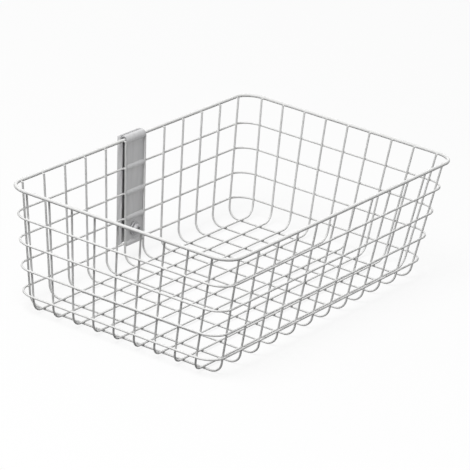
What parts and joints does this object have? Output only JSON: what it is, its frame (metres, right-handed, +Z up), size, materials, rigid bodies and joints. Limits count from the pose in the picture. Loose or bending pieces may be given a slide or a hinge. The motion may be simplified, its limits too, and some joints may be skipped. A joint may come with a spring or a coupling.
{
  "type": "wire cart basket",
  "caption": "Rectangular welded wire basket for a cart, with inward leaning walls and a clamp bracket on one long wall.",
  "frame": {"origin": "middle of the object's box, at the underside of the floor's cross wires", "axes": "+X along the basket's long walls, +Y out of the wall that carries the bracket, +Z up"},
  "size_m": [0.411, 0.255, 0.128],
  "materials": {
    "white_coating": "smooth semi-gloss white powder coat on round steel wire",
    "bracket_metal": "satin light grey finish on pressed steel sheet",
    "fastener_steel": "zinc plated screw, washer and nut"
  },
  "bodies": {
    "root": {"rim_wire": "white_coating", "ring_wire_1": "white_coating", "ring_wire_2": "white_coating", "ring_wire_3": "white_coating", "ring_wire_4": "white_coating", "cross_wire_01": "white_coating", "cross_wire_02": "white_coating", "cross_wire_03": "white_coating", "cross_wire_04": "white_coating", "cross_wire_05": "white_coating", "cross_wire_06": "white_coating", "cross_wire_07": "white_coating", "cross_wire_08": "white_coating", "cross_wire_09": "white_coating", "cross_wire_10": "white_coating", "cross_wire_11": "white_coating", "cross_wire_12": "white_coating", "long_wire_1": "white_coating", "long_wire_2": "white_coating", "long_wire_3": "white_coating", "long_wire_4": "white_coating", "long_wire_5": "white_coating", "long_wire_6": "white_coating", "long_wire_7": "white_coating", "long_wire_8": "white_coating", "long_wire_9": "white_coating", "clamp_plate": "bracket_metal", "mounting_channel": "bracket_metal", "clamp_screw": "fastener_steel", "screw_washer": "fastener_steel", "channel_nut": "fastener_steel"}
  },
  "joints": []
}
